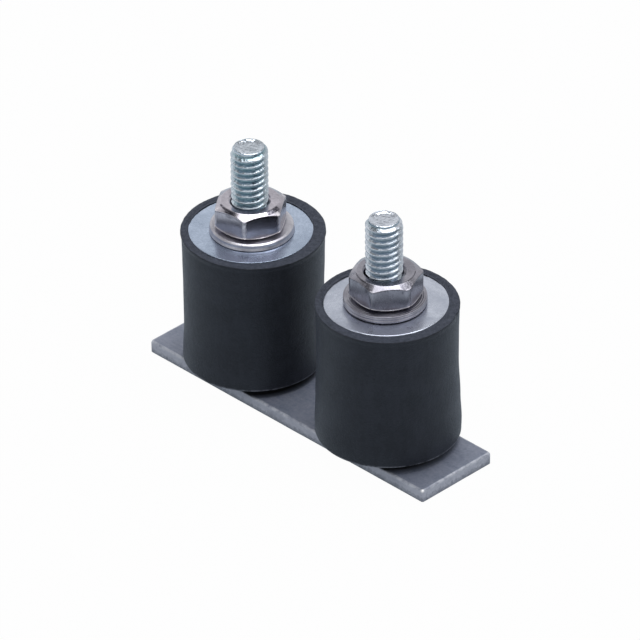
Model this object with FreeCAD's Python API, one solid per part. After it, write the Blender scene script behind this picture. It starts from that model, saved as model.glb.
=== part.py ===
import FreeCAD, Part
import math
import os

# Two rubber-metal buffers on one flat bar, all lengths in millimetres.
# The origin is the centre of the bar's underside, +X runs along the bar and +Z along the studs.

# Base plate
plate_length = 40.85
plate_width = 10.3
plate_thickness = 1.5
plate_corner_radius = 0.4
plate_edge_bevel = 0.15
plate_hole_chamfer = 0.2

# The studs stand in a row along the plate
stud_spacing = 20.0

# Rubber bodies: a thin lip at the top, a drawn-in wall and a foot that swells before it turns in
rubber_height = 15.5
rubber_lip_radius = 7.6
rubber_lip_height = 0.5
rubber_waist_radius = 7.43
rubber_waist_height = 4.6
rubber_swell_radius = 7.55
rubber_swell_height = 1.4
rubber_foot_radius = 7.42
rubber_rim_bevel = 0.12
# the rubber is not quite concentric with the metal that it is moulded round
rubber_drift = {"left": (0.24, 0.12), "right": (0.42, -0.03)}

# Steel discs let into both ends of the rubber
disc_radius = 6.6
disc_thickness = 1.5
disc_proud = 0.1
disc_bevel = 0.12

# Studs: a round head bonded in the rubber, a plain shank pressed through the disc, then the thread
thread_radius = 2.0
thread_pitch_radius = 1.77
thread_clearance = 0.04
stud_head_radius = 3.2
stud_head_height = 1.2
stud_shank_radius = 2.3
stud_free_length = 10.3
stud_end_chamfer = 0.45
# the lower stud has a shoulder that keeps the rubber clear of the plate
shoulder_radius = 3.0
shoulder_height = 0.8
lower_end_recess = 0.1
lower_end_chamfer = 0.2

# Flat washers
washer_radius = 4.5
washer_bore_radius = 2.15
washer_thickness = 0.8
washer_edge_bevel = 0.15

# Hexagon nuts, chamfered at both ends
nut_across_flats = 7.0
nut_height = 3.0
nut_chamfer_angle = 30.0
nut_face_share = 0.88
nut_countersink_radius = 2.3
nut_turn = {"left": 5.5, "right": -7.6}

# Heights that follow from the sizes above
lower_disc_bottom = plate_thickness + shoulder_height
rubber_bottom = lower_disc_bottom + disc_proud
rubber_top = rubber_bottom + rubber_height
upper_disc_top = rubber_top + disc_proud
upper_disc_bottom = upper_disc_top - disc_thickness
lower_disc_top = lower_disc_bottom + disc_thickness
washer_top = upper_disc_top + washer_thickness
nut_top = washer_top + nut_height
stud_top = upper_disc_top + stud_free_length
stud_places = {"left": -stud_spacing / 2, "right": stud_spacing / 2}

axis_up = FreeCAD.Vector(0, 0, 1)
origin = FreeCAD.Vector(0, 0, 0)


def corner(radius, height):
    return FreeCAD.Vector(radius, 0, height)


def turned(outline):
    """A solid of revolution about Z from a closed outline of (radius, height) points."""
    points = [corner(radius, height) for radius, height in outline]
    return Part.Face(Part.makePolygon(points + points[:1])).revolve(origin, axis_up, 360)


def cylinder(radius, low, high):
    return Part.makeCylinder(radius, high - low, FreeCAD.Vector(0, 0, low))


def base_plate():
    half_length, half_width = plate_length / 2, plate_width / 2
    bar = Part.makeBox(plate_length, plate_width, plate_thickness,
                       FreeCAD.Vector(-half_length, -half_width, 0))
    upright = [e for e in bar.Edges if abs(e.tangentAt(e.FirstParameter).z) > 0.9]
    bar = bar.makeFillet(plate_corner_radius, upright)
    rims = [e for e in bar.Edges if e.BoundBox.ZLength < 1e-6 and e.BoundBox.ZMin > plate_thickness / 2]
    bar = bar.makeChamfer(plate_edge_bevel, rims)
    hole_radius = thread_pitch_radius + thread_clearance
    hole = turned([
        (0, 0),
        (hole_radius + plate_hole_chamfer, 0),
        (hole_radius, plate_hole_chamfer),
        (hole_radius, plate_thickness),
        (0, plate_thickness),
    ])
    for place in stud_places.values():
        bar = bar.cut(hole.translated(FreeCAD.Vector(place, 0, 0)))
    return bar


def rubber_outside():
    """The moulded outline: drawn in at the foot and above the swell, with a thin lip round the top."""
    under_lip = rubber_top - rubber_lip_height
    return turned([
        (0, rubber_bottom),
        (rubber_foot_radius, rubber_bottom),
        (rubber_swell_radius, rubber_bottom + rubber_swell_height),
        (rubber_waist_radius, rubber_bottom + rubber_waist_height),
        (rubber_waist_radius, under_lip),
        (rubber_lip_radius, under_lip + rubber_lip_radius - rubber_waist_radius),
        (rubber_lip_radius, rubber_top - rubber_rim_bevel),
        (rubber_lip_radius - rubber_rim_bevel, rubber_top),
        (0, rubber_top),
    ])


def rubber_body(side):
    """The rubber at its own centre, less the pockets that the metal fills on the stud's axis."""
    x_drift, y_drift = rubber_drift[side]
    body = rubber_outside().translated(FreeCAD.Vector(x_drift, y_drift, 0))
    upper_head_bottom = upper_disc_bottom - stud_head_height
    lower_head_top = lower_disc_top + stud_head_height
    pockets = [
        cylinder(disc_radius, upper_disc_bottom, upper_disc_top),
        cylinder(stud_head_radius, upper_head_bottom, upper_disc_bottom),
        cylinder(disc_radius, lower_disc_bottom, lower_disc_top),
        cylinder(stud_head_radius, lower_disc_top, lower_head_top),
    ]
    return body.cut(pockets)


def disc(inner_height, outer_height):
    """A pressed disc with its outer rim bevelled and a hole for the stud's shank."""
    towards = math.copysign(disc_bevel, outer_height - inner_height)
    return turned([
        (stud_shank_radius, inner_height),
        (disc_radius, inner_height),
        (disc_radius, outer_height - towards),
        (disc_radius - disc_bevel, outer_height),
        (stud_shank_radius, outer_height),
    ])


def top_stud():
    """Engaged threads are drawn at the pitch radius, so the nut and the stud meet without overlap."""
    head_bottom = upper_disc_bottom - stud_head_height
    return turned([
        (0, head_bottom),
        (stud_head_radius, head_bottom),
        (stud_head_radius, upper_disc_bottom),
        (stud_shank_radius, upper_disc_bottom),
        (stud_shank_radius, upper_disc_top),
        (thread_radius, upper_disc_top),
        (thread_radius, washer_top),
        (thread_pitch_radius, washer_top),
        (thread_pitch_radius, nut_top),
        (thread_radius, nut_top),
        (thread_radius, stud_top - stud_end_chamfer),
        (thread_radius - stud_end_chamfer, stud_top),
        (0, stud_top),
    ])


def bottom_stud():
    head_top = lower_disc_top + stud_head_height
    return turned([
        (0, head_top),
        (stud_head_radius, head_top),
        (stud_head_radius, lower_disc_top),
        (stud_shank_radius, lower_disc_top),
        (stud_shank_radius, lower_disc_bottom),
        (shoulder_radius, lower_disc_bottom),
        (shoulder_radius, plate_thickness),
        (thread_pitch_radius, plate_thickness),
        (thread_pitch_radius, lower_end_recess + lower_end_chamfer),
        (thread_pitch_radius - lower_end_chamfer, lower_end_recess),
        (0, lower_end_recess),
    ])


def washer():
    return turned([
        (washer_bore_radius, upper_disc_top),
        (washer_radius, upper_disc_top),
        (washer_radius, washer_top - washer_edge_bevel),
        (washer_radius - washer_edge_bevel, washer_top),
        (washer_bore_radius, washer_top),
    ])


def nut(side):
    """A hexagon trimmed by the two chamfer cones, with a countersunk bore."""
    across_corners = nut_across_flats / math.cos(math.radians(30))
    corners = []
    for step in range(7):
        angle = math.radians(nut_turn[side] + 60 * step)
        corners.append(FreeCAD.Vector(across_corners / 2 * math.cos(angle),
                                      across_corners / 2 * math.sin(angle), washer_top))
    hexagon = Part.Face(Part.makePolygon(corners)).extrude(FreeCAD.Vector(0, 0, nut_height))
    face_radius = nut_across_flats / 2 * nut_face_share
    cone_reach = across_corners / 2 + nut_height
    cone_drop = (cone_reach - face_radius) * math.tan(math.radians(nut_chamfer_angle))
    # both cones are cut long past the corners, and the hexagon trims them
    top_cone = turned([
        (0, nut_top),
        (face_radius, nut_top),
        (cone_reach, nut_top - cone_drop),
        (cone_reach, washer_top - nut_height),
        (0, washer_top - nut_height),
    ])
    bottom_cone = turned([
        (0, washer_top),
        (face_radius, washer_top),
        (cone_reach, washer_top + cone_drop),
        (cone_reach, nut_top + nut_height),
        (0, nut_top + nut_height),
    ])
    bore_radius = thread_pitch_radius + thread_clearance
    sink_depth = nut_countersink_radius - bore_radius
    bore = turned([
        (0, washer_top),
        (nut_countersink_radius, washer_top),
        (bore_radius, washer_top + sink_depth),
        (bore_radius, nut_top - sink_depth),
        (nut_countersink_radius, nut_top),
        (0, nut_top),
    ])
    return hexagon.common(top_cone).common(bottom_cone).cut(bore)


def buffer_pieces(side):
    return {
        "rubber_body": rubber_body(side),
        "top_disc": disc(upper_disc_bottom, upper_disc_top),
        "top_stud": top_stud(),
        "bottom_disc": disc(lower_disc_top, lower_disc_bottom),
        "bottom_stud": bottom_stud(),
        "washer": washer(),
        "nut": nut(side),
    }


def main():
    os.makedirs("parts", exist_ok=True)
    pieces = {"base_plate": base_plate()}
    for side, place in stud_places.items():
        for name, shape in buffer_pieces(side).items():
            pieces[f"{side}_{name}"] = shape.translated(FreeCAD.Vector(place, 0, 0))
    for name, shape in pieces.items():
        solid = shape.Solids[0]
        solid.exportStep(f"parts/{name}.step")
        print(name, "volume", round(solid.Volume, 3), "solids", len(shape.Solids), "valid", solid.isValid())


main()
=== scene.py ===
import bpy
import bmesh
import functools
import math
import numpy as np
from math import cos, pi, radians, sin
from mathutils import Matrix, Vector, geometry, noise


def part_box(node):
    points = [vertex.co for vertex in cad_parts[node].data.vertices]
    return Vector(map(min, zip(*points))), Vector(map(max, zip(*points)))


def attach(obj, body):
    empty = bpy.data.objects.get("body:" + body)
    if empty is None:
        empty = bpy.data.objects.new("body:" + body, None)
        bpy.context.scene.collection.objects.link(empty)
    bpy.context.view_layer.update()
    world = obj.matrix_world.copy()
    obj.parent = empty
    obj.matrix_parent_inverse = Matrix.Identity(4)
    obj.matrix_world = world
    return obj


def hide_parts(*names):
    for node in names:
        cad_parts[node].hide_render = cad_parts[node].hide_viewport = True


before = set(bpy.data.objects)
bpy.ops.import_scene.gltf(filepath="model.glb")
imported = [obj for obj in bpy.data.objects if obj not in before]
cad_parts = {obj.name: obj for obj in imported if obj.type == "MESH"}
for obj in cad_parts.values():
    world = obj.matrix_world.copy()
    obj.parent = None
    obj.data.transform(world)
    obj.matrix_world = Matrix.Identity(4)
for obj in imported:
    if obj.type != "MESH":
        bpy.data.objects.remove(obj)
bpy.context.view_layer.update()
mm = 0.001  # the dictionaries are in millimetres, the scene in metres
sides = ("left", "right")
print("frame loaded:", len(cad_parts), "nodes")


def newObject(name, data):
    made = bpy.data.objects.new(name, data)
    bpy.context.scene.collection.objects.link(made)
    return made


# camera

cameraView = {
    "azimuth": 45.306,
    "elevation": 33.463,
    "roll": -0.523,
    "distance": 1000.0,
    "lens": 536.16,
    "sensor": 36,
    "clip": (0.05, 20),  # metres
    "target": (0.0, 0.0, 17.0),
    "aim": (0.224, -4.935),  # how far the view axis passes the target, to the right and up
}


def makeCamera():
    az, el, roll = (radians(cameraView[k]) for k in ("azimuth", "elevation", "roll"))
    back = Vector((sin(az) * cos(el), -cos(az) * cos(el), sin(el)))
    level = Vector((cos(az), sin(az), 0))
    upright = back.cross(level)
    right = cos(roll) * level + sin(roll) * upright
    up = -sin(roll) * level + cos(roll) * upright
    aimRight, aimUp = cameraView["aim"]
    spot = Vector(cameraView["target"]) + cameraView["distance"] * back + aimRight * right + aimUp * up
    camera = newObject("camera", bpy.data.cameras.new("camera"))
    camera.data.sensor_width = cameraView["sensor"]
    camera.data.lens = cameraView["lens"]
    camera.data.dof.use_dof = False
    camera.data.clip_start, camera.data.clip_end = cameraView["clip"]
    camera.matrix_world = Matrix.Translation(spot * mm) @ Matrix((right, up, back)).transposed().to_4x4()
    bpy.context.scene.camera = camera


makeCamera()
print("camera placed")


# nodes for materials and the threads

def feed(node, inputs):
    # links what is a socket to the node's inputs and sets what is a plain value
    for key, value in inputs.items():
        if isinstance(value, bpy.types.NodeSocket):
            node.id_data.links.new(value, node.inputs[key])
        else:
            node.inputs[key].default_value = value


def addNode(tree, kind, inputs=None, **settings):
    node = tree.nodes.new(kind)
    for key, value in settings.items():
        setattr(node, key, value)
    feed(node, inputs or {})
    return node


def reckon(operation, *values):
    # one step of arithmetic on sockets and numbers
    tree = next(value.id_data for value in values if isinstance(value, bpy.types.NodeSocket))
    return addNode(tree, "ShaderNodeMath", dict(enumerate(values)), operation=operation).outputs[0]


plus, minus, times, over, least, most = (
    functools.partial(reckon, operation)
    for operation in ("ADD", "SUBTRACT", "MULTIPLY", "DIVIDE", "MINIMUM", "MAXIMUM"))


def weighted(sockets, shares):
    return functools.reduce(plus, [times(socket, share) for socket, share in zip(sockets, shares)])


def blend(factor, first, second, kind="RGBA"):
    # the first value where the factor is 0 and the second where it is 1
    start, out = {"FLOAT": (2, 0), "RGBA": (6, 2)}[kind]
    first, second = ((*value, 1) if isinstance(value, tuple) else value for value in (first, second))
    inputs = {0: factor, start: first, start + 1: second}
    return addNode(factor.id_data, "ShaderNodeMix", inputs, data_type=kind).outputs[out]


def spread(factor, low, high, start, end):
    # carries start..end of the factor over to low..high, and no further
    inputs = {"Value": factor, "From Min": start, "From Max": end, "To Min": low, "To Max": high}
    return addNode(factor.id_data, "ShaderNodeMapRange", inputs).outputs["Result"]


def axesOf(vector):
    return addNode(vector.id_data, "ShaderNodeSeparateXYZ", {0: vector}).outputs


def objectPoints(tree, stretch=(1, 1, 1)):
    # object coordinates in millimetres
    place = addNode(tree, "ShaderNodeTexCoord").outputs["Object"]
    scale = tuple(share / mm for share in stretch)
    return addNode(tree, "ShaderNodeMapping", {"Vector": place, "Scale": scale}).outputs["Vector"]


def noiseOf(points, scale, detail, rough):
    inputs = {"Vector": points, "Scale": scale, "Detail": detail, "Roughness": rough}
    return addNode(points.id_data, "ShaderNodeTexNoise", inputs).outputs["Fac"]


def rampOf(factor, ends, dark, light):
    node = addNode(factor.id_data, "ShaderNodeValToRGB", {"Fac": factor})
    for element, position, colour in zip(node.color_ramp.elements, ends, (dark, light)):
        element.position = position
        element.color = (*colour, 1)
    return node.outputs["Color"]


def bumpOf(height, strength, distance, under=None):
    inputs = {"Height": height, "Strength": strength, "Distance": distance * mm}
    if under is not None:
        inputs["Normal"] = under
    return addNode(height.id_data, "ShaderNodeBump", inputs).outputs["Normal"]


def attributeOf(tree, name):
    return addNode(tree, "ShaderNodeAttribute", attribute_name=name).outputs["Fac"]


def facingUp(tree):
    return axesOf(addNode(tree, "ShaderNodeNewGeometry").outputs["True Normal"])["Z"]


def startMaterial(name):
    material = bpy.data.materials.new(name)
    material.use_nodes = True
    tree = material.node_tree
    return material, tree, tree.nodes["Principled BSDF"]


# materials: noises are given by scale per mm, detail and roughness, bumps by strength and depth in mm

rubberLook = {
    "dark": (0.0036, 0.0037, 0.0047),
    "light": (0.0108, 0.0116, 0.0155),
    "ringDark": (0.014, 0.017, 0.025),
    "ringLight": (0.046, 0.051, 0.069),
    "roughness": (0.40, 0.54),
    "ringRougher": 0.22,
    "specular": 0.38,
    "tint": (0.77, 0.84, 1.0, 1),
    "sheen": 0.06,
    "sheenTint": (0.55, 0.70, 1.0, 1),
    "cloud": (0.35, 4, 0.6),
    "streaks": (1.6, 3, 0.6),
    "streakStretch": (1, 1, 0.18),
    "mottle": (3.2, 3, 0.8),
    "blotShares": (0.40, 0.22, 0.38),  # of cloud, streaks and mottle
    "blotRange": (0.43, 0.57),
    "speck": (2.6, 5, 0.75),
    "speckRange": (0.34, 0.66),
    "speckOnWall": 0.12,
    "grain": (6.25, 3, 0.65),
    "grainRange": (0.3, 0.7),
    "flatRange": (0.75, 0.95),  # of the normal's height, from the wall to the ring
    # painted highlight: a pale broken line along the foot's edge
    "footHighlight": (0.17, 0.18, 0.21),
    "footHighlightHeights": (2.46, 2.64),
    "footHighlightRange": (0.35, 0.6),
    "fineBump": (1.0, 0.08),
    "coarseBump": (0.5, 0.09),
}


def rubberMaterial():
    # moulded rubber: satin on the wall, rough and paler where the flat ring was cut, with a painted highlight
    # along the foot
    look = rubberLook
    material, tree, shader = startMaterial("mouldedRubber")
    points = objectPoints(tree)
    kinds = ("cloud", "mottle", "speck", "grain")
    cloud, mottle, speck, grain = (noiseOf(points, *look[kind]) for kind in kinds)
    streaks = noiseOf(objectPoints(tree, look["streakStretch"]), *look["streaks"])
    blot = weighted((cloud, streaks, mottle), look["blotShares"])
    wall = rampOf(blot, look["blotRange"], look["dark"], look["light"])
    ring = rampOf(speck, look["speckRange"], look["ringDark"], look["ringLight"])
    flat = spread(facingUp(tree), 0, 1, *look["flatRange"])
    # a painted highlight along the foot's edge, broken up by the streaks
    highlightAtFoot = times(spread(axesOf(points)["Z"], 1, 0, *look["footHighlightHeights"]),
                   spread(streaks, 0, 1, *look["footHighlightRange"]))
    rough = plus(spread(grain, *look["roughness"], *look["grainRange"]), times(flat, look["ringRougher"]))
    fine = bumpOf(grain, *look["fineBump"])
    feed(shader, {
        "Base Color": blend(highlightAtFoot, blend(flat, wall, ring), look["footHighlight"]),
        "Sheen Weight": look["sheen"],
        "Sheen Tint": look["sheenTint"],
        "Roughness": rough,
        "Specular IOR Level": look["specular"],
        "Specular Tint": look["tint"],
        "Normal": bumpOf(times(speck, plus(flat, look["speckOnWall"])), *look["coarseBump"], fine),
    })
    return material


# "grain" gives the scales of a metal's cloud and specks, and the specks' share
metalLooks = {
    "discLeft": {"dark": (0.365, 0.435, 0.560), "light": (0.515, 0.60, 0.75), "roughness": (0.19, 0.30),
                 "grain": (0.42, 3.4, 0.45), "bump": 0.08},
    "discRight": {"dark": (0.43, 0.465, 0.555), "light": (0.60, 0.64, 0.74), "roughness": (0.22, 0.38),
                  "grain": (0.42, 3.4, 0.45), "bump": 0.10},
    "threadLeft": {"dark": (0.38, 0.43, 0.49), "light": (0.68, 0.73, 0.80), "roughness": (0.10, 0.22),
                   "grain": (0.9, 4.0, 0.6), "bump": 0.5, "grooveShade": (0.235, 0.345, 0.39), "dents": 0.6},
    "threadRight": {"dark": (0.43, 0.47, 0.535), "light": (0.71, 0.75, 0.83), "roughness": (0.10, 0.22),
                    "grain": (0.9, 4.0, 0.6), "bump": 0.5, "grooveShade": (0.29, 0.36, 0.41), "dents": 0.45},
    "washerLeft": {"dark": (0.37, 0.365, 0.41), "light": (0.60, 0.595, 0.645), "roughness": (0.30, 0.40),
                   "grain": (0.6, 4.0, 0.3), "bump": 0.05},
    "washerRight": {"dark": (0.27, 0.265, 0.305), "light": (0.43, 0.43, 0.485), "roughness": (0.28, 0.38),
                    "grain": (0.6, 4.0, 0.3), "bump": 0.08},
    "nutLeft": {"dark": (0.35, 0.335, 0.38), "light": (0.51, 0.485, 0.54), "roughness": (0.15, 0.26),
                "grain": (0.5, 3.5, 0.35), "bump": 0.05, "brush": (1, 1, 0.6),
                "worn": (0.72, 0.69, 0.73), "wornRougher": 0.35, "shadeAndRubs": (0.055, 0.055, 0.075)},
    "nutRight": {"dark": (0.25, 0.245, 0.285), "light": (0.37, 0.365, 0.415), "roughness": (0.19, 0.30),
                 "grain": (0.5, 3.5, 0.35), "bump": 0.08, "brush": (1, 1, 0.35),
                 "worn": (0.37, 0.36, 0.40), "wornRougher": 0.22, "shadeAndRubs": (0.048, 0.048, 0.064)},
}
metalPatterns = {
    # detail and roughness of the two noises whose scales a look gives
    "cloud": (4, 0.55),
    "speck": (4, 0.7),
    "range": (0.38, 0.62),
    "wear": (4.5, 3, 0.7),
    "wearSpread": (0.2, 1.2, 0.35, 0.65),
    "shadeAndRubs": (5.0, 3, 0.7),
    "shadeAndRubsSpread": (0.35, 0.85, 0.4, 0.6),
    "speckDepth": 0.05,
    "dents": (2.6, 1, 0.5),
    "dentDepth": 0.1,
}


def metalMaterial(name):
    # plated or bright steel: a slow cloud of colour with fine specks, and roughness that follows both
    look, patterns = metalLooks[name], metalPatterns
    material, tree, shader = startMaterial(name)
    points = objectPoints(tree, look.get("brush", (1, 1, 1)))
    cloudScale, speckScale, share = look["grain"]
    cloud = noiseOf(points, cloudScale, *patterns["cloud"])
    speck = noiseOf(points, speckScale, *patterns["speck"])
    both = weighted((cloud, speck), (1 - share, share))
    colour = rampOf(both, patterns["range"], look["dark"], look["light"])
    smooth, rough = look["roughness"]
    rough = spread(both, rough, smooth, *patterns["range"])
    # painted shade: the thread's roots are darker by their depth
    if "grooveShade" in look:
        colour = blend(attributeOf(tree, "grooveShade"), colour, look["grooveShade"])
    if "worn" in look:
        patchy = spread(noiseOf(points, *patterns["wear"]), *patterns["wearSpread"])
        worn = times(attributeOf(tree, "wear"), patchy)
        rough = plus(rough, times(worn, look["wornRougher"]))
        # painted shade along the line where the chamfer meets the flats, with dark patches that are partly
        # rubs and partly painted shade
        ragged = spread(noiseOf(points, *patterns["shadeAndRubs"]), *patterns["shadeAndRubsSpread"])
        shadedAndRubbed = times(attributeOf(tree, "shadeAndRubs"), ragged)
        colour = blend(shadedAndRubbed, blend(worn, colour, look["worn"]), look["shadeAndRubs"])
    relief = bumpOf(speck, look["bump"], patterns["speckDepth"])
    if "dents" in look:
        relief = bumpOf(noiseOf(points, *patterns["dents"]), look["dents"], patterns["dentDepth"], relief)
    feed(shader, {"Base Color": colour, "Roughness": rough, "Metallic": 1.0, "Normal": relief})
    return material


plateLook = {
    "dark": (0.126, 0.148, 0.207),
    "light": (0.219, 0.239, 0.309),
    "side": (0.475, 0.48, 0.54),
    "lowerSide": (0.19, 0.20, 0.24),
    "lowerHeights": (0.15, 0.80),
    "lowerRagged": (-0.22, 0.22, 0.35, 0.65),
    "worn": (0.45, 0.47, 0.525),
    "wornNoise": (1.3, 4, 0.7),
    "wornSpread": (0.2, 1.3, 0.35, 0.65),
    "cloud": (0.22, 5, 0.6),
    "drawn": (2.4, 4, 0.6),
    "drawnStretch": (0.12, 1, 1),
    "speck": (3.2, 4, 0.7),
    "coatShares": (0.45, 0.2, 0.35),  # of cloud, drawn lines and specks
    "coatRange": (0.40, 0.60),
    "uprightRange": (0.1, 0.6),
    "sideSpread": (0.55, 1.0, 0.36, 0.6),
    # painted shade: near black under each buffer's rubber
    "gapShade": (0.006, 0.007, 0.009),
    "gapShadeRadii": (6.8, 7.7),
    "gapShadeHeights": (1.35, 1.45),
    "gapShadeRougher": 0.4,
    "buffersAt": 10.0,  # mm from the middle of the bar
    # a painted glint: a small white spot on the bar's top edge
    "paintedGlint": {"at": (20.2, -4.93, 1.4), "radii": (0.02, 0.26), "colour": (1.0, 1.0, 1.0)},
    "metallic": 0.35,
    "roughness": (0.52, 0.36),
    "roughRange": (0.36, 0.64),
    "bump": (0.15, 0.05),
}


def plateMaterial():
    # drawn flat bar with a thin dark coat, rubbed through along its edges
    look = plateLook
    material, tree, shader = startMaterial("barSteel")
    points = objectPoints(tree)
    cloud, speck, patches = (noiseOf(points, *look[key]) for key in ("cloud", "speck", "wornNoise"))
    drawn = noiseOf(objectPoints(tree, look["drawnStretch"]), *look["drawn"])
    both = weighted((cloud, drawn, speck), look["coatShares"])
    coat = rampOf(both, look["coatRange"], look["dark"], look["light"])
    worn = times(attributeOf(tree, "wear"), spread(patches, *look["wornSpread"]))
    # the upright sides take a lighter colour of their own, darker towards their bottom
    upright = spread(reckon("ABSOLUTE", facingUp(tree)), 1, 0, *look["uprightRange"])
    sidesToned = blend(times(upright, spread(both, *look["sideSpread"])), coat, look["side"])
    place = axesOf(points)
    lower = spread(plus(place["Z"], spread(speck, *look["lowerRagged"])), 1, 0, *look["lowerHeights"])
    sidesToned = blend(times(lower, upright), sidesToned, look["lowerSide"])
    colour = blend(worn, sidesToned, look["worn"])
    # painted shade blackens the plate in the gap under each buffer
    along = minus(reckon("ABSOLUTE", place["X"]), look["buffersAt"])
    away = reckon("SQRT", plus(times(along, along), times(place["Y"], place["Y"])))
    gapShade = times(spread(away, 1, 0, *look["gapShadeRadii"]), spread(place["Z"], 0, 1, *look["gapShadeHeights"]))
    colour = blend(gapShade, colour, look["gapShade"])
    # painted glint: white mixed into the colour around one point
    paintedGlint = look["paintedGlint"]
    toGlint = addNode(tree, "ShaderNodeVectorMath", {0: points, 1: paintedGlint["at"]}, operation="DISTANCE")
    glintShare = spread(toGlint.outputs["Value"], 1, 0, *paintedGlint["radii"])
    rough = plus(spread(both, *look["roughness"], *look["roughRange"]), times(gapShade, look["gapShadeRougher"]))
    feed(shader, {
        "Base Color": blend(glintShare, colour, paintedGlint["colour"]),
        "Roughness": rough,
        "Metallic": look["metallic"],
        "Normal": bumpOf(speck, *look["bump"]),
    })
    return material


finishes = {name: metalMaterial(name) for name in metalLooks}
finishes["rubber"] = rubberMaterial()
finishes["plate"] = plateMaterial()
print("materials made:", len(finishes))


# shared making of pieces

def settle(mesh, name):
    # turns an edited mesh into a finished one
    made = bpy.data.meshes.new(name)
    mesh.to_mesh(made)
    mesh.free()
    return made


def finishPiece(mesh, finish, node, sharp=40):
    # links a mesh as a piece of the object that stands for a CAD node
    mesh.materials.clear()
    mesh.materials.append(finishes[finish])
    mesh.shade_smooth()
    mesh.set_sharp_from_angle(angle=radians(sharp))
    piece = newObject(mesh.name, mesh)
    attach(piece, "root")
    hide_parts(node)


def bridge(mesh, rings):
    # faces between neighbouring rings of vertices; at a pole they are triangles
    for lower, upper in zip(rings, rings[1:]):
        for j in range(len(lower)):
            n = (j + 1) % len(lower)
            mesh.faces.new(list(dict.fromkeys((lower[j], lower[n], upper[n], upper[j]))))


def evenAngles(count):
    return np.arange(count) * 2 * pi / count


def turnedMesh(name, side, outline, angles, warp=None, loop=False):
    # turns an outline of (radius, height) about a buffer's axis. A radius of 0 is a pole; a loop has a bore
    radii, heights = np.array(outline).T
    angle, radius = np.meshgrid(angles, radii)
    height = np.meshgrid(angles, heights)[1]
    x, y, z = radius * np.cos(angle), radius * np.sin(angle), height
    if warp:
        x, y, z = warp(angle, radius, height)
    centre = placeOf(side)
    grid = np.stack([x + centre[0], y + centre[1], z], -1)
    mesh = bmesh.new()
    rings = []
    for row, points in zip(radii, grid):
        if row == 0:
            rings.append([mesh.verts.new(points.mean(axis=0) * mm)] * len(angles))
        else:
            rings.append([mesh.verts.new(point * mm) for point in points])
    bridge(mesh, rings + rings[:1] if loop else rings)
    bmesh.ops.recalc_face_normals(mesh, faces=mesh.faces)
    return settle(mesh, name)


def storeMark(mesh, name, values):
    mesh.attributes.new(name, "FLOAT", "POINT").data.foreach_set("value", values.astype(np.float32))


def roundedCorner(before, corner, after, radius, steps=5):
    # points of an arc that eases the corner of an outline
    b, c, a = (np.array(point, float) for point in (before, corner, after))
    start = c + (b - c) / np.linalg.norm(b - c) * radius
    end = c + (a - c) / np.linalg.norm(a - c) * radius
    shares = [k / steps for k in range(steps + 1)]
    return [tuple((1 - t) ** 2 * start + 2 * t * (1 - t) * c + t ** 2 * end) for t in shares]


def easedOutline(corners, radii, loop=False):
    # an outline whose corners are eased by their own radii; radius 0 leaves a corner as it is
    points = []
    count = len(corners)
    for k, corner in enumerate(corners):
        if radii[k] and (loop or 0 < k < count - 1):
            points += roundedCorner(corners[k - 1], corner, corners[(k + 1) % count], radii[k])
        else:
            points.append(corner)
    return points


def divided(a, b, pieces):
    # the points that divide a run into equal pieces, its start among them but not its end
    return [(a[0] + (b[0] - a[0]) * k / pieces, a[1] + (b[1] - a[1]) * k / pieces) for k in range(pieces)]


def dense(points, gap, loop=False):
    # adds points along the long runs of an outline
    made = []
    for a, b in zip(points, points[1:] + points[:1] if loop else points[1:]):
        made += divided(a, b, max(1, int(math.dist(a, b) / gap)))
    return made if loop else made + [points[-1]]


def fade(values, start, width):
    # rises from 0 to 1 over a width
    return np.clip((values - start) / width, 0, 1)


def noiseField(x, y, z, scale, seed):
    # smooth noise from -1 to 1 for arrays of points in millimetres
    flat = np.stack([np.ravel(x), np.ravel(y), np.ravel(z)], -1) / scale + seed
    return np.array([noise.noise(p) for p in flat]).reshape(np.shape(x))


def forSide(values, side):
    # a piece's values as they hold for one buffer
    return {key: value[side] if isinstance(value, dict) and side in value else value
            for key, value in values.items()}


def boxInMm(node):
    low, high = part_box(node)
    return np.array(low) / mm, np.array(high) / mm


def heightsOf(node):
    return [corner[2] for corner in boxInMm(node)]


def placeOf(side):
    low, high = boxInMm(f"{side}_top_stud")
    return (low + high)[:2] / 2


# flat bar

barSizes = {
    # corners in turn from the front right, with their radii
    "corners": {(1, -1): 0.3, (1, 1): 0.35, (-1, 1): 0.4, (-1, -1): 0.45},
    "leastRadius": 0.05,
    "tightening": 0.5,  # of a corner's radius, by how far the outline is drawn in
    "topEdge": 0.32,
    "bottomEdge": 0.14,
    "edgeSteps": 6,
    "cornerSteps": 10,
    "runSteps": (20, 70),  # across and along the bar
    "sideRows": (0.35, 0.7),
    "wear": {"bottom": 0.15, "rim": 0.1},
    "holeRadius": 1.82,
    "holeChamfer": 0.2,
    "holeSegments": 64,
    "waviness": 0.025,
    "waves": (0.35, 0.35, 0.4),  # per mm
    "waveSeed": Vector((0, 0, 7)),
    "waveLift": 0.3,
}


def barOutline(halfLength, halfWidth, inset):
    # the bar's outline as one loop, drawn in by inset, with its long runs divided
    corners = []
    for (alongX, alongY), wanted in barSizes["corners"].items():
        radius = max(wanted - inset * barSizes["tightening"], barSizes["leastRadius"])
        x, y = halfLength - inset - radius, halfWidth - inset - radius
        corners.append((alongX * x, alongY * y, radius))
    loop = []
    steps = barSizes["cornerSteps"]
    for quarter, (x, y, radius) in enumerate(corners):
        for k in range(steps + 1):
            angle = radians(90 * (quarter - 1) + 90 * k / steps)
            loop.append((x + radius * cos(angle), y + radius * sin(angle)))
        nextX, nextY, nextRadius = corners[(quarter + 1) % 4]
        end = (nextX + nextRadius * cos(angle), nextY + nextRadius * sin(angle))
        loop += divided(loop[-1], end, barSizes["runSteps"][quarter % 2])[1:]
    return loop


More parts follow.
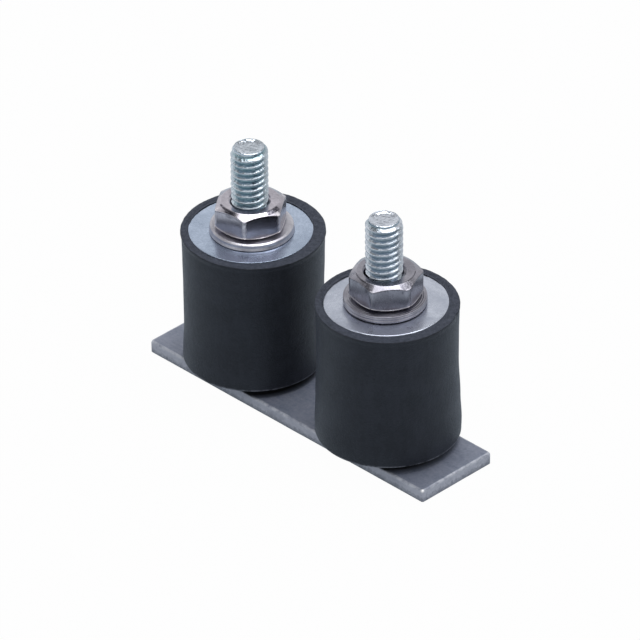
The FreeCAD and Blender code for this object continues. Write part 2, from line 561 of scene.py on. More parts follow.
def fillFlat(mesh, loops):
    # triangles between an outline, which comes first, and the round holes in it
    corners = [vertex for loop in loops for vertex in loop]
    flat = [(vertex.co / mm).to_2d() for vertex in corners]
    edges, rounds, start = [], [], 0
    for loop in loops:
        count = len(loop)
        edges += [(start + j, start + (j + 1) % count) for j in range(count)]
        centre = sum(flat[start:start + count], Vector((0, 0))) / count
        rounds.append((centre, (flat[start] - centre).length))
        start += count
    for triangle in geometry.delaunay_2d_cdt(flat, edges, [], 1, 1e-5)[2]:
        middle = sum((flat[k] for k in triangle), Vector((0, 0))) / 3
        if all((middle - centre).length > radius for centre, radius in rounds[1:]):
            mesh.faces.new([corners[k] for k in triangle])


def makeBar():
    low, high = boxInMm("base_plate")
    halfLength, halfWidth = high[0], high[1]
    thickness = high[2] - low[2]
    mesh = bmesh.new()
    wear = mesh.verts.layers.float.new("wear")
    waves = Vector(barSizes["waves"])

    def ring(inset, height, worn):
        made = []
        for x, y in barOutline(halfLength, halfWidth, inset):
            wave = barSizes["waviness"] * noise.noise(Vector((x, y, height)) * waves + barSizes["waveSeed"])
            away = Vector((x, y)).normalized() * wave
            lift = barSizes["waveLift"] * wave if worn else 0
            vertex = mesh.verts.new(Vector((x + away.x, y + away.y, height + lift)) * mm)
            vertex[wear] = worn
            made.append(vertex)
        return made

    edge, steps = barSizes["bottomEdge"], barSizes["edgeSteps"]
    rings = [ring(edge, 0, 0), ring(0, edge, barSizes["wear"]["bottom"])]
    rings += [ring(0, thickness * share, 0) for share in barSizes["sideRows"]]
    edge = barSizes["topEdge"]
    for k in range(steps + 1):
        turn = pi / 2 * k / steps
        worn = sin(2 * turn) ** 0.5 if 0 < k < steps else barSizes["wear"]["rim"]
        rings.append(ring(edge * (1 - cos(turn)), thickness - edge * (1 - sin(turn)), worn))
    bridge(mesh, rings)
    lowerLoops, upperLoops = [rings[0]], [rings[-1]]
    radius, chamfer = barSizes["holeRadius"], barSizes["holeChamfer"]
    angles = evenAngles(barSizes["holeSegments"])
    for side in sides:
        cx, cy = placeOf(side)
        hole = []
        for r, z in ((radius + chamfer, 0), (radius, chamfer), (radius, thickness)):
            circle = [Vector((cx + r * cos(a), cy + r * sin(a), z)) for a in angles]
            hole.append([mesh.verts.new(point * mm) for point in circle])
        bridge(mesh, hole)
        lowerLoops.append(hole[0])
        upperLoops.append(hole[-1])
    fillFlat(mesh, lowerLoops)
    fillFlat(mesh, upperLoops)
    bmesh.ops.recalc_face_normals(mesh, faces=mesh.faces)
    finishPiece(settle(mesh, "flatBar"), "plate", "base_plate", sharp=50)


makeBar()
print("flat bar made")


# how far each piece sits off its buffer's axis, in mm

seating = {
    "stud": {"left": (-0.04, -0.04), "right": (-0.09, -0.09)},
    "nut": {"left": (0.0, 0.0), "right": (0.045, 0.045)},
    "washer": {"left": (0.08, 0.08), "right": (-0.03, -0.03)},
    "disc": {"left": (0.0, 0.0), "right": (-0.047, 0.109)},
}

# radii along the studs, in mm
studRadii = {
    "head": 3.2,
    "shank": 2.28,
    "shoulder": 3.0,
    "engaged": 1.77,
}


# rubber bodies

rubberSizes = {
    "segments": 320,
    # (height above the foot, radius) where the wall's girth changes
    "girths": {
        "left": [(0.0, 7.54), (1.2, 7.55), (4.6, 7.45), (9.0, 7.47), (12.4, 7.54), (14.95, 7.59)],
        "right": [(0.0, 7.69), (1.3, 7.73), (4.2, 7.61), (8.6, 7.47), (12.0, 7.48), (14.95, 7.54)],
    },
    "wallRows": 60,
    "lip": {"left": 7.70, "right": 7.60},
    "lipHeight": 0.55,
    "lipStep": 0.36,
    "lipCurve": ((0.25, 0.25), (0.7, 0.6), (0.95, 0.95)),  # shares of the step out and up
    "rimEase": 0.12,
    "footEase": 0.10,
    "footDrift": {"left": (-0.06, -0.06), "right": (0.0, 0.0)},
    "footReach": 3.0,
    "drift": {"left": (0.24, 0.12), "right": (0.33, -0.04)},
    "ringRise": {"left": 0.07, "right": 0.10},  # of the ring's outer edge
    # a thin skin of rubber on the disc's bevel, as (past the disc's radius, above the ring)
    "skin": ((0.03, 0.01), (-0.015, 0.035), (-0.02, 0.005), (0, -0.06)),
    "skinUnevenness": 0.03,
    # scales in mm, and what is added to the seed
    "noises": {"rim": (1.1, 0), "fineRim": (0.35, 5), "ring": (0.42, 2), "skin": (0.8, 4), "creep": (0.6, 6)},
    "rimShares": (0.6, 0.4),
    # rubber that crept over the disc's far edge: how far in mm, towards which angle, and how narrowly
    "creep": {"left": (0.27, 135.0, 1.2), "right": (0.49, 150.0, 1.5)},
    "creepUnevenness": 0.15,
    "raggedRim": 0.05,
    "raggedRing": 0.03,
    "sway": 0.02,
    "nick": {"side": "right", "angle": 28.0, "width": 1.3, "depth": 0.16},
    "seed": {"left": 3.1, "right": 11.7},
}


def wallRadius(girths, height):
    # the moulded wall's radius at a height above its foot, eased from girth to girth
    for (h0, r0), (h1, r1) in zip(girths, girths[1:]):
        if height <= h1:
            t = (height - h0) / (h1 - h0)
            return r0 + (r1 - r0) * t * t * (3 - 2 * t)
    return girths[-1][1]


def rubberOutline(side, own, foot, top, discRadius, lipFoot):
    # from the pole over the lower disc round the outside to the pole under the upper stud's head
    discLow, studLow = (heightsOf(f"{side}_top_{name}")[0] for name in ("disc", "stud"))
    lowDiscHigh, lowStudHigh = (heightsOf(f"{side}_bottom_{name}")[1] for name in ("disc", "stud"))
    lip, ease, footEase, step = (own[key] for key in ("lip", "rimEase", "footEase", "lipStep"))
    head = studRadii["head"]
    footRadius = wallRadius(own["girths"], footEase)
    outline = [(0, lowStudHigh), (head, lowStudHigh), (head, lowDiscHigh)]
    outline += [(discRadius, lowDiscHigh), (discRadius, foot)]
    outline += dense([(discRadius + 0.02, foot), (footRadius - footEase, foot)], 0.2)
    outline += roundedCorner((footRadius - 1, foot), (footRadius, foot), (footRadius, foot + 1), footEase)[1:]
    for k in range(1, own["wallRows"] + 1):
        height = footEase + (lipFoot - foot - footEase) * k / own["wallRows"]
        outline.append((wallRadius(own["girths"], height), foot + height))
    wallEnd = outline[-1][0]
    outline += [(wallEnd + (lip - wallEnd) * out, lipFoot + step * up) for out, up in own["lipCurve"]]
    outline += dense([(lip, lipFoot + step + 0.04), (lip, top - ease)], 0.08)
    outline += roundedCorner((lip, top - 1), (lip, top), (lip - 1, top), ease)[1:]
    outline += dense([(lip - ease - 0.03, top), (discRadius + 0.03, top)], 0.075)[:-1]
    outline += [(discRadius + past, top + above) for past, above in own["skin"]]
    return outline + [(discRadius, discLow), (head, discLow), (head, studLow), (0, studLow)]


def makeRubber(side):
    own = forSide(rubberSizes, side)
    foot, top = heightsOf(f"{side}_rubber_body")
    discLow, discHigh = boxInMm(f"{side}_top_disc")
    discRadius = (discHigh[0] - discLow[0]) / 2
    lip, lipFoot, seed, nick = own["lip"], top - own["lipHeight"], own["seed"], own["nick"]
    footRadius = wallRadius(own["girths"], own["footEase"])
    driftX, driftY = own["drift"]
    footX, footY = own["footDrift"]
    leanX, leanY = seating["disc"][side]

    def warp(angle, radius, height):
        # the outside is moulded a little off the metal's axis
        share = fade(radius, discRadius, footRadius - discRadius)
        x, y = radius * np.cos(angle), radius * np.sin(angle)
        rim = fade(height, lipFoot - 0.1, 0.5) * fade(radius, discRadius + 0.25, 0.3)
        onRing = (height > top - 0.05) & (radius > discRadius - 0.1)
        uneven = {name: noiseField(x, y, height, scale, seed + step)
                  for name, (scale, step) in own["noises"].items()}
        coarse, fine = own["rimShares"]
        wobble = uneven["rim"] * coarse + uneven["fineRim"] * fine
        swayed = noiseField(np.cos(angle) * 3, np.sin(angle) * 3, height * 0.5, 2.6, seed + 9) * share
        outward = own["raggedRim"] * wobble * rim + own["sway"] * swayed
        lift = own["raggedRing"] * uneven["ring"] * onRing
        skin = (height > top) & (radius < discRadius + 0.1)
        lift = lift + skin * own["skinUnevenness"] * uneven["skin"]
        reach, towards, narrow = own["creep"]
        over = np.maximum(np.cos(angle - radians(towards)), 0) ** narrow
        inward = skin * (radius < discRadius) * reach * over * (1 + own["creepUnevenness"] * uneven["creep"])
        lift = lift + skin * np.clip(over * 6, 0, 1) * (discHigh[2] - top + 0.05)
        rise = own["ringRise"] * fade(height, lipFoot, 0.4)
        lift = lift + rise * fade(radius, discRadius + 0.2, 0.4)
        if nick["side"] == side:
            away = (angle - radians(nick["angle"]) + pi) % (2 * pi) - pi
            bite = nick["depth"] * np.exp(-(away * lip / (nick["width"] / 2)) ** 2 * 3)
            outward = outward - bite * rim
            lift = lift - 0.5 * bite * fade(radius, lip - 0.7, 0.4) * (height > top - 0.3)
        low = 1 - fade(height, foot, own["footReach"])
        x = x + (outward - inward) * np.cos(angle) + (driftX + footX * low) * share + leanX * (1 - share)
        y = y + (outward - inward) * np.sin(angle) + (driftY + footY * low) * share + leanY * (1 - share)
        return x, y, height + lift

    outline = rubberOutline(side, own, foot, top, discRadius, lipFoot)
    mesh = turnedMesh(f"{side}Rubber", side, outline, evenAngles(own["segments"]), warp)
    finishPiece(mesh, "rubber", f"{side}_rubber_body", sharp=55)


for side in sides:
    makeRubber(side)
print("rubber bodies made")


# discs

discSizes = {
    "segments": 192,
    "bore": 2.3,
    "outerEdge": {"left": 0.04, "right": 0.12},
    "innerEdge": 0.06,
    "backEdge": 0.05,
    "pointGap": 0.35,
    "unevenness": 0.006,
    "unevenScale": 2.2,
    "seed": {"left": 21.0, "right": 33.0},
}


def makeDisc(side, level):
    own = forSide(discSizes, side)
    low, high = boxInMm(f"{side}_{level}_disc")
    radius, bore = (high[0] - low[0]) / 2, own["bore"]
    face, back = (high[2], low[2]) if level == "top" else (low[2], high[2])
    corners = [(bore, face), (radius, face), (radius, back), (bore, back)]
    edges = [own["innerEdge"], own["outerEdge"], own["backEdge"], own["backEdge"]]
    outline = dense(easedOutline(corners, edges, loop=True), own["pointGap"], loop=True)
    leanX, leanY = seating["disc"][side]

    def warp(angle, r, height):
        offBore = fade(r, bore, 1)
        x, y = r * np.cos(angle) + leanX * offBore, r * np.sin(angle) + leanY * offBore
        uneven = noiseField(x, y, height, own["unevenScale"], own["seed"])
        return x, y, height + own["unevenness"] * uneven * (r < radius - 0.2)

    name = f"{side}{level.title()}Disc"
    mesh = turnedMesh(name, side, outline, evenAngles(own["segments"]), warp, loop=True)
    finishPiece(mesh, f"disc{side.title()}", f"{side}_{level}_disc")


for side in sides:
    for level in ("top", "bottom"):
        makeDisc(side, level)
print("discs made")


# washers

washerSizes = {
    "segments": 192,
    "bore": 2.15,
    "extra": {"left": -0.03, "right": 0.09},  # thickness beyond the drawing's
    "trim": {"left": 0.055, "right": 0.11},  # off the drawing's radius
    "bevel": {"left": (0.23, 0.13), "right": (0.04, 0.04)},  # reach and drop of the rolled rim
    "bevelEase": {"left": 0.06, "right": 0.03},
    "lowerEases": (0.05, 0, 0.03, 0.06),
    "boreEase": 0.08,
    "pointGap": 0.03,
    "gap": {"left": (0.35, 0.06), "right": (0.45, 0.12)},  # width and height of the dark wedge under the rim
    "flange": {"left": (0.105, 0.38), "right": (0.0, 0.40)},  # spread of the lower edge, and its height
    "rings": {"left": 0.0, "right": 0.012},  # depth of the turned rings on the top face
    "ringPitch": 0.24,
    "ringsFrom": 3.7,
    "sideRings": {"left": 0.0, "right": 0.03},  # the punched edge is drawn out in fine rings
    "sideRingPitch": 0.30,
}


def makeWasher(side):
    own = forSide(washerSizes, side)
    low, high = boxInMm(f"{side}_washer")
    bottom, top = low[2], high[2] + own["extra"]
    radius, bore = (high[0] - low[0]) / 2 - own["trim"], own["bore"]
    width, rise = own["gap"]
    flange, below = own["flange"]
    reach, drop = own["bevel"]
    corners = [(bore, bottom), (radius + flange - width, bottom), (radius + flange, bottom + rise),
               (radius, bottom + below), (radius, top - drop), (radius - reach, top), (bore, top)]
    edges = [*own["lowerEases"], own["bevelEase"], own["bevelEase"], own["boreEase"]]
    outline = dense(easedOutline(corners, edges, loop=True), own["pointGap"], loop=True)
    leanX, leanY = seating["washer"][side]

    def warp(angle, r, height):
        onSide = (r > radius - 0.1) & (height > bottom + rise)
        r = r + own["sideRings"] * np.cos(2 * pi * height / own["sideRingPitch"]) * onSide
        turned = own["rings"] * np.cos(2 * pi * r / own["ringPitch"])
        onTop = (height > top - 0.2) & (r > own["ringsFrom"])
        return r * np.cos(angle) + leanX, r * np.sin(angle) + leanY, height + turned * onTop

    mesh = turnedMesh(f"{side}Washer", side, outline, evenAngles(own["segments"]), warp, loop=True)
    finishPiece(mesh, f"washer{side.title()}", f"{side}_washer")


for side in sides:
    makeWasher(side)
print("washers made")


# nuts

nutSizes = {
    "acrossFlats": 7.0,
    "turn": {"left": 5.5, "right": -7.6},  # degrees from +X to a corner
    "chamferAngle": 30.0,
    "faceShare": 0.88,
    "lowerFaceShare": {"left": 0.90, "right": 0.865},
    "lift": {"left": -0.09, "right": 0.15},  # of the top; the right one sits on a thicker washer
    "tilt": {"left": 0.03, "right": 0.0},  # the top's fall towards the left buffer's far side, mm per mm
    "burr": 0.09,
    "burrHeight": 0.06,
    "burrWear": 0.7,
    "burrFrom": 1.015,  # times the hexagon's own reach
    "cornerWear": {"left": 0.20, "right": 0.04},
    "cornerWearPeak": 1.4,
    "bore": 2.06,
    "boreBlend": 2.9,
    "countersink": {"left": 2.28, "right": 2.34},
    "cornerEase": {"left": 0.27, "right": 0.52},
    "chamferEase": 0.025,
    "outlineEases": (0.03, 0.04, 0.06, 0, 0, 0.06, 0.04, 0.03),
    "beyondCorners": 0.25,
    "pointGaps": {"cone": 0.035, "top": 0.06, "rest": 0.25},
    "anglesPerFlat": 44,
    "anglePacking": 0.8,  # how much closer together the angles are near the corners
    "creaseShadeWidth": 0.10,
    "creaseShadeDrop": 0.05,
    "creaseShadeFrom": 0.98,  # of half the width across the flats
    # dark patches on the upper chamfer and the top face, partly rubs and partly painted shade at the ends of
    # the chamfer's highlight: degrees from and to, radii from and to, depth
    "rubsAndShade": {
        "left": [(-121, -77, 3.10, 3.36, 1.5), (-97, -73, 3.10, 3.54, 1.3), (-13, 18, 3.02, 3.56, 1.3)],
        "right": [(-126, -79, 3.08, 3.24, 1.7), (-84, -67, 3.08, 3.80, 0.9), (-20, 4, 3.08, 3.80, 0.9),
                  (0, 42, 3.00, 3.14, 1.6)],
    },
    "rubAndShadeEase": 0.07,
    "rubsAndShadeAbove": 0.8,  # the nut's middle
}


def softMin(a, b, ease):
    near = np.clip(1 - np.abs(a - b) / ease, 0, 1)
    return np.minimum(a, b) - near ** 2 * ease / 4


def nutOutline(own, bottom, top, faceRadius, slope):
    half, gaps = own["acrossFlats"] / 2, own["pointGaps"]
    reach = half / cos(radians(30)) + own["beyondCorners"]
    lowerRadius = half * own["lowerFaceShare"]
    drop, rise = (reach - faceRadius) * slope, (reach - lowerRadius) * slope
    bore, sink = own["bore"], own["countersink"]
    corners = [(bore, bottom + sink - bore), (sink, bottom), (lowerRadius, bottom), (reach, bottom + rise),
               (reach, top - drop), (faceRadius, top), (sink, top), (bore, top - sink + bore)]
    eased = easedOutline(corners, own["outlineEases"], loop=True)
    outline = []
    for a, b in zip(eased, eased[1:] + eased[:1]):
        long = abs(a[0] - b[0]) > 0.3
        onCone = long and abs(a[1] - b[1]) > 0.2 and max(a[0], b[0]) > faceRadius
        onTop = long and min(a[1], b[1]) > top - 0.05
        outline += dense([a, b], gaps["cone" if onCone else "top" if onTop else "rest"])[:-1]
    return outline


def makeNut(side):
    own = forSide(nutSizes, side)
    bottom, top = heightsOf(f"{side}_nut")
    middle = (bottom + top) / 2
    half = own["acrossFlats"] / 2
    faceRadius = half * own["faceShare"]
    slope = math.tan(radians(own["chamferAngle"]))
    turn = radians(own["turn"])
    steps = np.arange(own["anglesPerFlat"]) / own["anglesPerFlat"]
    packed = steps - own["anglePacking"] * np.sin(2 * pi * steps) / (2 * pi)
    angles = np.concatenate([turn + (k + packed) * pi / 3 for k in range(6)])
    leanX, leanY = seating["nut"][side]
    studX, studY = seating["stud"][side]
    bore, blendTo = own["bore"], own["boreBlend"]

    def fromCorner(angle):
        return (angle - turn + pi / 6) % (pi / 3) - pi / 6

    def warp(angle, radius, height):
        away = fromCorner(angle)
        flats = (half / np.cos(away + lean) for lean in (-pi / 6, pi / 6))
        hexagon = softMin(*flats, own["cornerEase"])
        r = np.where(radius > faceRadius - 0.2, softMin(radius, hexagon, own["chamferEase"]), radius)
        atRim = np.clip(1 - np.abs(radius - hexagon) * slope / own["burrHeight"], 0, 1)
        r = r + own["burr"] * atRim * (height < middle)
        x, y = r * np.cos(angle), r * np.sin(angle)
        raised = own["lift"] - own["tilt"] * (y - x) / math.sqrt(2)
        share = (height - bottom) / (top - bottom)
        under = washerSizes["extra"][side] * (1 - share)
        atBore = 1 - fade(radius, bore, blendTo - bore)
        x, y = x + leanX + (studX - leanX) * atBore, y + leanY + (studY - leanY) * atBore
        return x, y, height + raised * share + under

    outline = nutOutline(own, bottom, top, faceRadius, slope)
    mesh = turnedMesh(f"{side}Nut", side, outline, angles, warp, loop=True)
    flat = np.empty(len(mesh.vertices) * 3)
    mesh.vertices.foreach_get("co", flat)
    x, y, z = flat.reshape(-1, 3).T / mm
    centreX, centreY = placeOf(side)
    x, y = x - centreX - leanX, y - centreY - leanY
    radius, angle = np.hypot(x, y), np.arctan2(y, x)
    away = np.abs(fromCorner(angle))
    hexagon = half / np.cos(pi / 6 - away)
    wear = np.clip(own["cornerWearPeak"] - away * half / own["cornerWear"], 0, 1) * (radius > half)
    onBurr = radius > hexagon * own["burrFrom"]
    storeMark(mesh, "wear", np.maximum(wear, own["burrWear"] * onBurr))
    # painted shade along the line where the upper chamfer meets the flats
    chamferEnd = top - (hexagon - faceRadius) * slope + own["lift"] - own["creaseShadeDrop"]
    shadeAndRubs = np.clip(1 - np.abs(z - chamferEnd) / own["creaseShadeWidth"], 0, 1)
    shadeAndRubs = shadeAndRubs * (radius > half * own["creaseShadeFrom"])
    degrees = np.degrees(angle)
    for start, end, inner, outer, depth in own["rubsAndShade"]:
        inside = np.minimum(np.radians(np.minimum(degrees - start, end - degrees)) * radius,
                            np.minimum(radius - inner, outer - radius))
        rubAndShade = depth * fade(inside, 0, own["rubAndShadeEase"]) * (z > middle + own["rubsAndShadeAbove"])
        shadeAndRubs = np.maximum(shadeAndRubs, rubAndShade)
    storeMark(mesh, "shadeAndRubs", shadeAndRubs)
    finishPiece(mesh, f"nut{side.title()}", f"{side}_nut", sharp=60)


for side in sides:
    makeNut(side)
print("nuts made")


# studs, threaded by Geometry Nodes

threadSizes = {
    "threadRadius": 2.0,
    "threadDepth": 0.43,
    "pitch": 0.73,
    "crestShare": 0.12,
    "rootShare": 0.167,
    "shankRadius": studRadii["shank"],
    "headRadius": studRadii["head"],
    "chamferHeight": 0.48,
    "coneShare": 0.46,  # of that height; the rest is a short wall under the rim
    "dishRadius": 1.05,
    "dishDepth": 0.13,
    "rimWidth": 0.12,
    "rimDrop": 0.065,
    "roughness": 0.044,
    "endChamfer": {"left": 0.38, "right": 0.40},
    "turn": {"left": 0.18, "right": 0.80},
}
threadSeeds = {"left": 3, "right": 8}
threadPlaces = ("low", "high", "shankStart", "threadStart", "placeX", "placeY")
threadMesh = {
    "segments": 112,
    "rowsPerPitch": 24,
    "endRings": 30,
    "noise": (3.6, 3.0),  # scale per mm and detail of the roughness
    "crestEase": 0.10,
    "rootEase": 0.06,
    "endEase": 0.05,
}


def threadTree():
    # a round bar whose radius follows a helix: head, shank, thread and the chamfer at its free end
    tree = bpy.data.node_groups.new("studThread", "GeometryNodeTree")
    tree.interface.new_socket("mesh", in_out="OUTPUT", socket_type="NodeSocketGeometry")
    for kind, names in (("Float", (*threadPlaces, *threadSizes)), ("Int", ("rows", "seed"))):
        for name in names:
            tree.interface.new_socket(name, in_out="INPUT", socket_type="NodeSocket" + kind)
    given = tree.nodes.new("NodeGroupInput").outputs
    low, high, depth, outside = (given[key] for key in ("low", "high", "threadDepth", "threadRadius"))

    def within(value):
        return least(most(value, 0.0), 1.0)

    bar = addNode(tree, "GeometryNodeMeshCylinder", {
        "Vertices": threadMesh["segments"], "Side Segments": given["rows"],
        "Fill Segments": threadMesh["endRings"], "Radius": 1.0, "Depth": minus(high, low)},
        fill_type="TRIANGLE_FAN")
    position = addNode(tree, "GeometryNodeInputPosition").outputs[0]
    x, y, z = axesOf(position)
    z = plus(z, times(plus(high, low), 0.5))
    # the thread's profile: 0 at the root and 1 at the crest along the helix
    turns = over(reckon("ARCTAN2", y, x), 2 * pi)
    phase = reckon("FRACT", plus(minus(over(z, given["pitch"]), turns), given["turn"]))
    ridge = reckon("ABSOLUTE", minus(times(phase, 2.0), 1.0))
    flank = minus(minus(1.0, given["crestShare"]), given["rootShare"])
    tooth = over(minus(ridge, given["rootShare"]), flank)
    scale, detail = threadMesh["noise"]
    rough = addNode(tree, "ShaderNodeTexNoise", {"Vector": position, "Scale": scale, "Detail": detail},
                    noise_dimensions="4D")
    feed(rough, {"W": given["seed"]})
    wander = times(minus(rough.outputs[0], 0.5), times(given["roughness"], 2.0))
    root = minus(outside, depth)
    helix = reckon("SMOOTH_MIN", reckon("MULTIPLY_ADD", depth, tooth, root), outside, threadMesh["crestEase"])
    helix = plus(reckon("SMOOTH_MAX", helix, root, threadMesh["rootEase"]), wander)
    # the free end narrows in a cone over a short wall
    notYet = most(minus(1.0, over(minus(high, z), given["chamferHeight"])), 0.0)
    slope = times(given["endChamfer"], least(over(notYet, given["coneShare"]), 1.0))
    blunt = plus(minus(outside, slope), wander)
    threaded = reckon("SMOOTH_MIN", helix, blunt, threadMesh["endEase"])
    aboveShank = reckon("GREATER_THAN", z, given["threadStart"])
    aboveHead = reckon("GREATER_THAN", z, given["shankStart"])
    radius = blend(aboveShank, given["shankRadius"], threaded, "FLOAT")
    radius = blend(aboveHead, given["headRadius"], radius, "FLOAT")
    # the end face is dished inside a rim that falls outward
    blunted = minus(outside, given["endChamfer"])
    rim = minus(blunted, given["rimWidth"])
    reach = times(reckon("SQRT", plus(times(x, x), times(y, y))), blunted)
    inward = within(over(minus(rim, reach), minus(rim, given["dishRadius"])))
    outward = within(over(minus(reach, rim), given["rimWidth"]))
    onEnd = reckon("GREATER_THAN", z, minus(high, 0.001))
    drop = times(reckon("MULTIPLY_ADD", inward, given["dishDepth"], times(outward, given["rimDrop"])), onEnd)
    place = addNode(tree, "ShaderNodeCombineXYZ", {
        0: reckon("MULTIPLY_ADD", x, radius, given["placeX"]),
        1: reckon("MULTIPLY_ADD", y, radius, given["placeY"]),
        2: minus(plus(z, times(wander, 0.5)), drop)}).outputs[0]
    # the depth of the groove goes to the material as painted shade in the thread's roots, and is read before
    # the points move
    grooveShade = times(within(over(minus(outside, helix), depth)), times(aboveShank, minus(1.0, onEnd)))
    marked = addNode(tree, "GeometryNodeStoreNamedAttribute", {
        "Geometry": bar.outputs["Mesh"], "Name": "grooveShade", "Value": grooveShade}).outputs[0]
    moved = addNode(tree, "GeometryNodeSetPosition", {"Geometry": marked, "Position": place}).outputs[0]
    inMetres = addNode(tree, "GeometryNodeTransform", {"Geometry": moved, "Scale": (mm, mm, mm)}).outputs[0]
    realized = addNode(tree, "GeometryNodeRealizeInstances", {0: inMetres}).outputs[0]
    addNode(tree, "NodeGroupOutput", {0: realized})
    return tree


def meshFromTree(name, tree, values):
    # evaluates a Geometry Nodes tree once, with its named inputs set, and returns the plain mesh
    carrier = newObject(name + "Carrier", bpy.data.meshes.new(name + "Carrier"))
    modifier = carrier.modifiers.new("thread", "NODES")
    modifier.node_group = tree
    for item in tree.interface.items_tree:
        if item.in_out == "INPUT":
            modifier[item.identifier] = values[item.name]
    graph = bpy.context.evaluated_depsgraph_get()
    mesh = bpy.data.meshes.new_from_object(carrier.evaluated_get(graph), depsgraph=graph)
    mesh.name = name
    carrier.modifiers.remove(modifier)
    bpy.data.objects.remove(carrier)
    return mesh


def makeTopStud(side, tree):
    low, high = heightsOf(f"{side}_top_stud")
    place = placeOf(side) + np.array(seating["stud"][side])
    measures = (low, high, *heightsOf(f"{side}_top_disc"), *place)
    rows = int((high - low) / threadSizes["pitch"] * threadMesh["rowsPerPitch"])
    values = {**forSide(threadSizes, side), **dict(zip(threadPlaces, map(float, measures)))}
    mesh = meshFromTree(f"{side}TopStud", tree, {**values, "rows": rows, "seed": threadSeeds[side]})
    finishPiece(mesh, f"thread{side.title()}", f"{side}_top_stud", sharp=70)


studTree = threadTree()
for side in sides:
    makeTopStud(side, studTree)
print("threaded studs made")


# lower studs, seen only in the gap under the rubber and from below

lowerStudSizes = {
    "segments": 128,
    "endChamfer": 0.2,
    "eases": (0, 0.03, 0.03, 0, 0.08, 0, 0, 0, 0, 0.05, 0),
    "pointGap": 0.3,
}


def makeBottomStud(side):
    bottom, top = heightsOf(f"{side}_bottom_stud")
    plateTop = heightsOf("base_plate")[1]
    discLow, discHigh = heightsOf(f"{side}_bottom_disc")
    end = lowerStudSizes["endChamfer"]
    head, shank, shoulder, engaged = studRadii.values()
    corners = [(0, bottom), (engaged - end, bottom), (engaged, bottom + end), (engaged, plateTop),
               (shoulder, plateTop), (shoulder, discLow), (shank, discLow), (shank, discHigh),
               (head, discHigh), (head, top), (0, top)]
    outline = dense(easedOutline(corners, lowerStudSizes["eases"]), lowerStudSizes["pointGap"])
    mesh = turnedMesh(f"{side}BottomStud", side, outline, evenAngles(lowerStudSizes["segments"]))
    finishPiece(mesh, f"thread{side.title()}", f"{side}_bottom_stud")


for side in sides:
    makeBottomStud(side)
print("lower studs made")


# floor, light and background

studio = {
    "floorColour": (0.40, 0.41, 0.43, 1),
    "floorGlow": {"camera": 0.98, "mirror": 0.52},
    "floorTint": (0.78, 0.91, 1.0),
    "floorRadius": 2.5,  # metres, as are the other lengths here
    "floorAt": -0.00004,
    "ambient": 0.58,
    "ambientColour": (0.95, 0.97, 1, 1),
    # fades of the white backdrop, as the values at both ends and where they lie by the view's direction
    "ceiling": (1.0, 0.28, 0.53, 0.74),
    "front": (0.70, 1.0, -0.2, 1.0),  # from the camera's side to behind the object, at +Y and -X
    "frontCeiling": {"from": (1, 0, -0.5, -0.1), "above": (0, 0.95, 0.5, 0.75)},
    "ends": (1.08, 0.78, -1.1, 1.1),  # from left to right
    "lamps": {
        "overhead": {"at": (0.0, 0.113, 0.62), "size": (0.64, 0.42), "radiance": 2.7},
        "overheadCore": {"at": (0.01, 0.10, 0.60), "size": (0.34, 0.20), "radiance": 3.0},
        "rightFill": {"at": (0.62, 0.10, 0.30), "size": (0.35, 0.35), "radiance": 1.0},
    },
    "aimAt": (0.0, 0.0, 0.015),
}


def seenDirectly(tree, cameraShare=1.0, mirrorShare=1.0):
    # camera, mirror and glass rays see the white background by these shares, and other rays see none of it
    path = addNode(tree, "ShaderNodeLightPath").outputs
    mirror = times(most(path["Is Glossy Ray"], path["Is Transmission Ray"]), mirrorShare)
    return most(times(path["Is Camera Ray"], cameraShare), mirror)


def mixShaders(share, first, second):
    inputs = {0: share, 1: first.outputs[0], 2: second.outputs[0]}
    return addNode(share.id_data, "ShaderNodeMixShader", inputs)


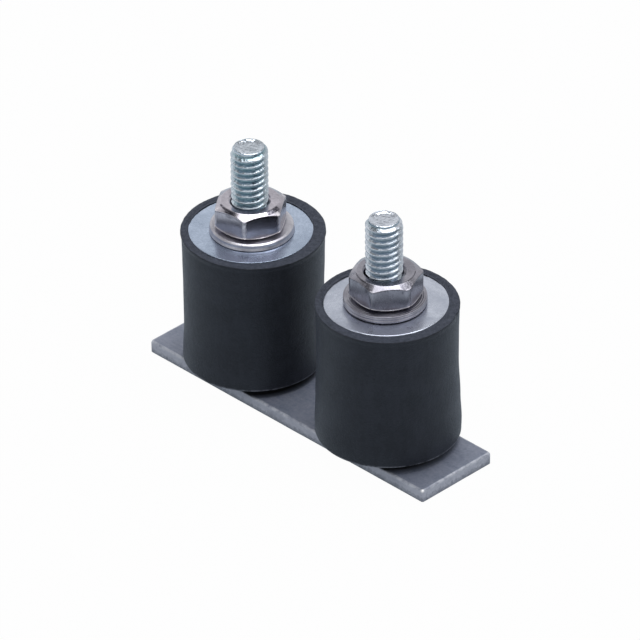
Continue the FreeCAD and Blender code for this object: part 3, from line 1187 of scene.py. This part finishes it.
def makeFloor():
    mesh = bmesh.new()
    bmesh.ops.create_circle(mesh, cap_ends=True, segments=96, radius=studio["floorRadius"])
    bmesh.ops.translate(mesh, verts=mesh.verts, vec=(0, 0, studio["floorAt"]))
    floor = newObject("floor", settle(mesh, "floor"))
    material, tree, shader = startMaterial("paleFloor")
    feed(shader, {"Base Color": studio["floorColour"], "Roughness": 1.0, "Specular IOR Level": 0.0})
    path = addNode(tree, "ShaderNodeLightPath").outputs
    white = blend(path["Is Camera Ray"], studio["floorTint"], (1, 1, 1))
    glow = addNode(tree, "ShaderNodeEmission", {"Color": white, "Strength": 1.0})
    share = seenDirectly(tree, studio["floorGlow"]["camera"], studio["floorGlow"]["mirror"])
    feed(tree.nodes["Material Output"], {"Surface": mixShaders(share, shader, glow).outputs[0]})
    floor.data.materials.append(material)


def makeWorld():
    world = bpy.data.worlds.new("studio")
    world.use_nodes = True
    bpy.context.scene.world = world
    tree = world.node_tree
    tree.nodes.clear()

    def background(colour, strength):
        return addNode(tree, "ShaderNodeBackground", {"Color": colour, "Strength": strength})

    direction = axesOf(addNode(tree, "ShaderNodeTexCoord").outputs["Generated"])
    behind = minus(direction["Y"], direction["X"])
    along = plus(direction["X"], direction["Y"])
    share = times(spread(behind, *studio["front"]), spread(along, *studio["ends"]))
    overFront = times(spread(behind, *studio["frontCeiling"]["from"]),
                      spread(direction["Z"], *studio["frontCeiling"]["above"]))
    mirrored = most(times(spread(direction["Z"], *studio["ceiling"]), share), overFront)
    white = (1, 1, 1, 1)
    path = addNode(tree, "ShaderNodeLightPath").outputs
    seen = mixShaders(path["Is Camera Ray"], background(white, mirrored), background(white, 1.0))
    mixed = mixShaders(seenDirectly(tree), background(studio["ambientColour"], studio["ambient"]), seen)
    addNode(tree, "ShaderNodeOutputWorld", {"Surface": mixed.outputs[0]})


def makeLamps():
    for name, lamp in studio["lamps"].items():
        light = bpy.data.lights.new(name, "AREA")
        light.shape = "RECTANGLE"
        light.size, light.size_y = lamp["size"]
        light.energy = lamp["radiance"] * pi * light.size * light.size_y
        spot = Vector(lamp["at"])
        back = (spot - Vector(studio["aimAt"])).normalized()
        across = Vector((1, 1, 0))
        across = (across - back * back.dot(across)).normalized()
        turn = Matrix((across, back.cross(across), back)).transposed()
        newObject(name, light).matrix_world = Matrix.Translation(spot) @ turn.to_4x4()


makeFloor()
makeWorld()
makeLamps()
bpy.context.scene.view_settings.view_transform = "Standard"
print("studio made")
